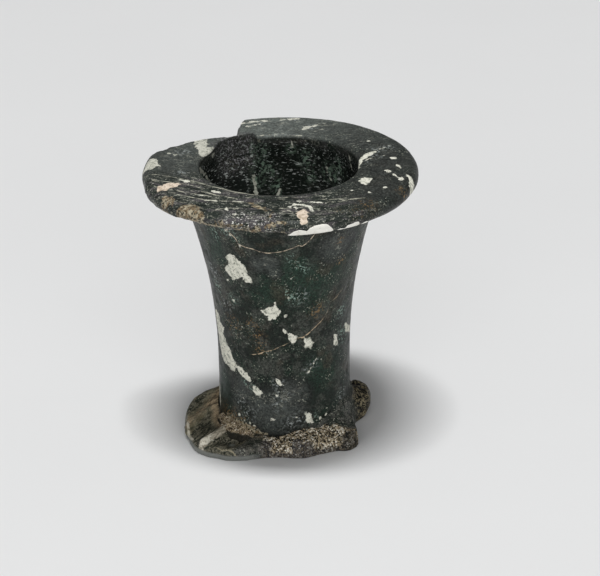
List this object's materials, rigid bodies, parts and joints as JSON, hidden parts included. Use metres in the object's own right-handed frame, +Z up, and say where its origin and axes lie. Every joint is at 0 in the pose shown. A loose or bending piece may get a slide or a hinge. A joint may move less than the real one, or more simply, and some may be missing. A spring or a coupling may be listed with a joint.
{
  "type": "faience jar",
  "caption": "Small waisted kohl jar in dark mottled faience, with a broad flat rim that has an old loss, a rejoined neck sherd, a blind bore and a broken ridged foot.",
  "frame": {"origin": "centre of the tube's axis on the plane that the foot rests on", "axes": "+Z up along the tube's axis to the mouth, -Y towards the front with the rejoined sherd, +X to the right as seen from the front"},
  "size_m": [0.048, 0.048, 0.05],
  "materials": {
    "dark_faience": "satin",
    "broken_foot": "matte",
    "lute_paste": "matte",
    "aged_glue": "matte",
    "pale_fill": "matte"
  },
  "bodies": {
    "root": {"body_tube": "dark_faience", "rim_collar": "dark_faience", "neck_sherd": "dark_faience", "rim_lute": "lute_paste", "sherd_glue": "aged_glue", "rim_edge_fills": "pale_fill", "foot_block": "broken_foot", "foot_lute": "lute_paste"}
  },
  "joints": []
}
